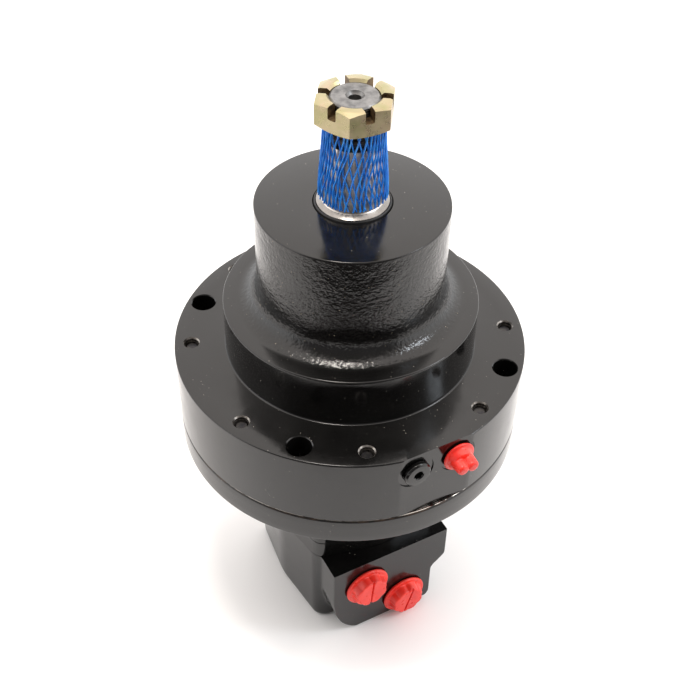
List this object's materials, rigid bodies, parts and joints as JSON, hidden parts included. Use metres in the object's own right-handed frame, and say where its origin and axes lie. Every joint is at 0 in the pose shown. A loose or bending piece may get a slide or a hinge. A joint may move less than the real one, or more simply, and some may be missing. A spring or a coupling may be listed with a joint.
{
  "type": "hydraulic motor",
  "caption": "Orbital hydraulic wheel motor with a spring-applied parking brake, a round mounting flange with a pilot, a tapered output shaft with a castle nut, and capped side ports.",
  "frame": {"origin": "centre of the valve housing's rear face, on the shaft's axis", "axes": "+Z along the output shaft towards its nut, -Y out of the pressure ports"},
  "size_m": [0.1968, 0.206, 0.35],
  "materials": {
    "black_paint": "gloss black enamel over cast and machined iron",
    "black_oxide": "black oxide, lightly oiled",
    "seal_rubber": "satin nitrile rubber",
    "hardened_steel": "ground and hardened",
    "ground_iron": "ground ductile iron",
    "spring_steel": "oiled spring steel",
    "shaft_steel": "turned and polished, oiled",
    "yellow_zinc": "yellow chromate zinc plating",
    "blue_net": "extruded polyethylene netting",
    "red_plastic": "soft moulded polyethylene",
    "friction_lining": "paper-based friction lining on a steel core"
  },
  "bodies": {
    "housing": {"brake_housing": "black_paint", "cover_plate": "black_paint", "motor_front_housing": "black_paint", "wear_plate": "black_paint", "geroler_ring": "black_paint", "valve_plate": "black_paint", "valve_housing": "black_paint", "brake_port_plug": "black_oxide", "cover_seal": "seal_rubber", "motor_seal": "seal_rubber", "shaft_seal": "seal_rubber", "dust_seal": "seal_rubber", "rear_bearing_cup": "hardened_steel", "front_bearing_cup": "hardened_steel", "balance_ring": "ground_iron", "balance_spring": "spring_steel", "lower_disc_spring": "spring_steel", "upper_disc_spring": "spring_steel", "cover_screw_1": "black_oxide", "cover_screw_2": "black_oxide", "cover_screw_3": "black_oxide", "cover_screw_4": "black_oxide", "cover_screw_5": "black_oxide", "cover_screw_6": "black_oxide", "cover_screw_7": "black_oxide", "cover_screw_8": "black_oxide", "motor_bolt_1": "black_oxide", "motor_bolt_2": "black_oxide", "motor_bolt_3": "black_oxide", "motor_bolt_4": "black_oxide", "separator_plate_1": "spring_steel", "separator_plate_2": "spring_steel", "separator_plate_3": "spring_steel"},
    "shaft": {"output_shaft": "shaft_steel", "castle_nut": "yellow_zinc", "thread_sleeve": "blue_net", "front_bearing_cone": "hardened_steel", "rear_bearing_cone": "hardened_steel", "bearing_retainer": "spring_steel", "friction_disc_1": "friction_lining", "friction_disc_2": "friction_lining", "friction_disc_3": "friction_lining"},
    "orbit_carrier": {"drive_spacer": "hardened_steel"},
    "rotor": {"rotor_star": "hardened_steel"},
    "drive_link": {"drive_link": "hardened_steel"},
    "valve_drive": {"valve_drive": "hardened_steel"},
    "disc_valve": {"disc_valve": "ground_iron"},
    "brake_piston": {"brake_piston": "ground_iron", "piston_seal": "seal_rubber", "piston_neck_seal": "seal_rubber"},
    "upper_port_plug": {"upper_port_plug": "red_plastic"},
    "lower_port_plug": {"lower_port_plug": "red_plastic"},
    "brake_port_cap": {"brake_port_cap": "red_plastic"},
    "roller_1": {"geroler_roller_1": "hardened_steel"},
    "roller_2": {"geroler_roller_2": "hardened_steel"},
    "roller_3": {"geroler_roller_3": "hardened_steel"},
    "roller_4": {"geroler_roller_4": "hardened_steel"},
    "roller_5": {"geroler_roller_5": "hardened_steel"},
    "roller_6": {"geroler_roller_6": "hardened_steel"},
    "roller_7": {"geroler_roller_7": "hardened_steel"}
  },
  "joints": [
    {"name": "shaft_spin", "type": "hinge", "parent": "housing", "child": "shaft", "pos_m": [0, 0, 0.2], "axis": [0, 0, 1], "continuous": true},
    {"name": "rotor_orbit", "type": "hinge", "parent": "housing", "child": "orbit_carrier", "pos_m": [0, 0, 0.09], "axis": [0, 0, 1], "continuous": true},
    {"name": "rotor_spin", "type": "hinge", "parent": "orbit_carrier", "child": "rotor", "pos_m": [-0.0027, 0, 0.09], "axis": [0, 0, 1], "continuous": true},
    {"name": "drive_link_spin", "type": "hinge", "parent": "orbit_carrier", "child": "drive_link", "pos_m": [-0.0027, 0, 0.092], "axis": [0.0465, 0, 0.9989], "continuous": true},
    {"name": "valve_drive_spin", "type": "hinge", "parent": "orbit_carrier", "child": "valve_drive", "pos_m": [-0.0027, 0, 0.0784], "axis": [-0.1146, 0, 0.9934], "continuous": true},
    {"name": "disc_valve_spin", "type": "hinge", "parent": "housing", "child": "disc_valve", "pos_m": [0, 0, 0.055], "axis": [0, 0, 1], "continuous": true},
    {"name": "roller_1_spin", "type": "hinge", "parent": "housing", "child": "roller_1", "pos_m": [0.032, 0, 0.087], "axis": [0, 0, 1], "continuous": true},
    {"name": "roller_2_spin", "type": "hinge", "parent": "housing", "child": "roller_2", "pos_m": [0.01995, 0.02502, 0.087], "axis": [0, 0, 1], "continuous": true},
    {"name": "roller_3_spin", "type": "hinge", "parent": "housing", "child": "roller_3", "pos_m": [-0.00712, 0.0312, 0.087], "axis": [0, 0, 1], "continuous": true},
    {"name": "roller_4_spin", "type": "hinge", "parent": "housing", "child": "roller_4", "pos_m": [-0.02883, 0.01388, 0.087], "axis": [0, 0, 1], "continuous": true},
    {"name": "roller_5_spin", "type": "hinge", "parent": "housing", "child": "roller_5", "pos_m": [-0.02883, -0.01388, 0.087], "axis": [0, 0, 1], "continuous": true},
    {"name": "roller_6_spin", "type": "hinge", "parent": "housing", "child": "roller_6", "pos_m": [-0.00712, -0.0312, 0.087], "axis": [0, 0, 1], "continuous": true},
    {"name": "roller_7_spin", "type": "hinge", "parent": "housing", "child": "roller_7", "pos_m": [0.01995, -0.02502, 0.087], "axis": [0, 0, 1], "continuous": true},
    {"name": "brake_release", "type": "slide", "parent": "housing", "child": "brake_piston", "axis": [0, 0, -1], "range_m": [0, 0.0015], "stiffness_N_per_m": 20000, "springref_m": -0.003, "deforming": ["lower_disc_spring", "upper_disc_spring"]},
    {"name": "upper_port_plug_pull", "type": "slide", "parent": "housing", "child": "upper_port_plug", "axis": [0, -1, 0], "range_m": [0, 0.03]},
    {"name": "lower_port_plug_pull", "type": "slide", "parent": "housing", "child": "lower_port_plug", "axis": [0, -1, 0], "range_m": [0, 0.03]},
    {"name": "brake_port_cap_pull", "type": "slide", "parent": "housing", "child": "brake_port_cap", "axis": [0, -1, 0], "range_m": [0, 0.03]}
  ],
  "couplings": [
    {"joint": "rotor_orbit", "follows": "shaft_spin", "ratio": -6},
    {"joint": "rotor_spin", "follows": "shaft_spin", "ratio": 7},
    {"joint": "drive_link_spin", "follows": "shaft_spin", "ratio": 7},
    {"joint": "valve_drive_spin", "follows": "shaft_spin", "ratio": 7},
    {"joint": "disc_valve_spin", "follows": "shaft_spin", "ratio": 1}
  ]
}
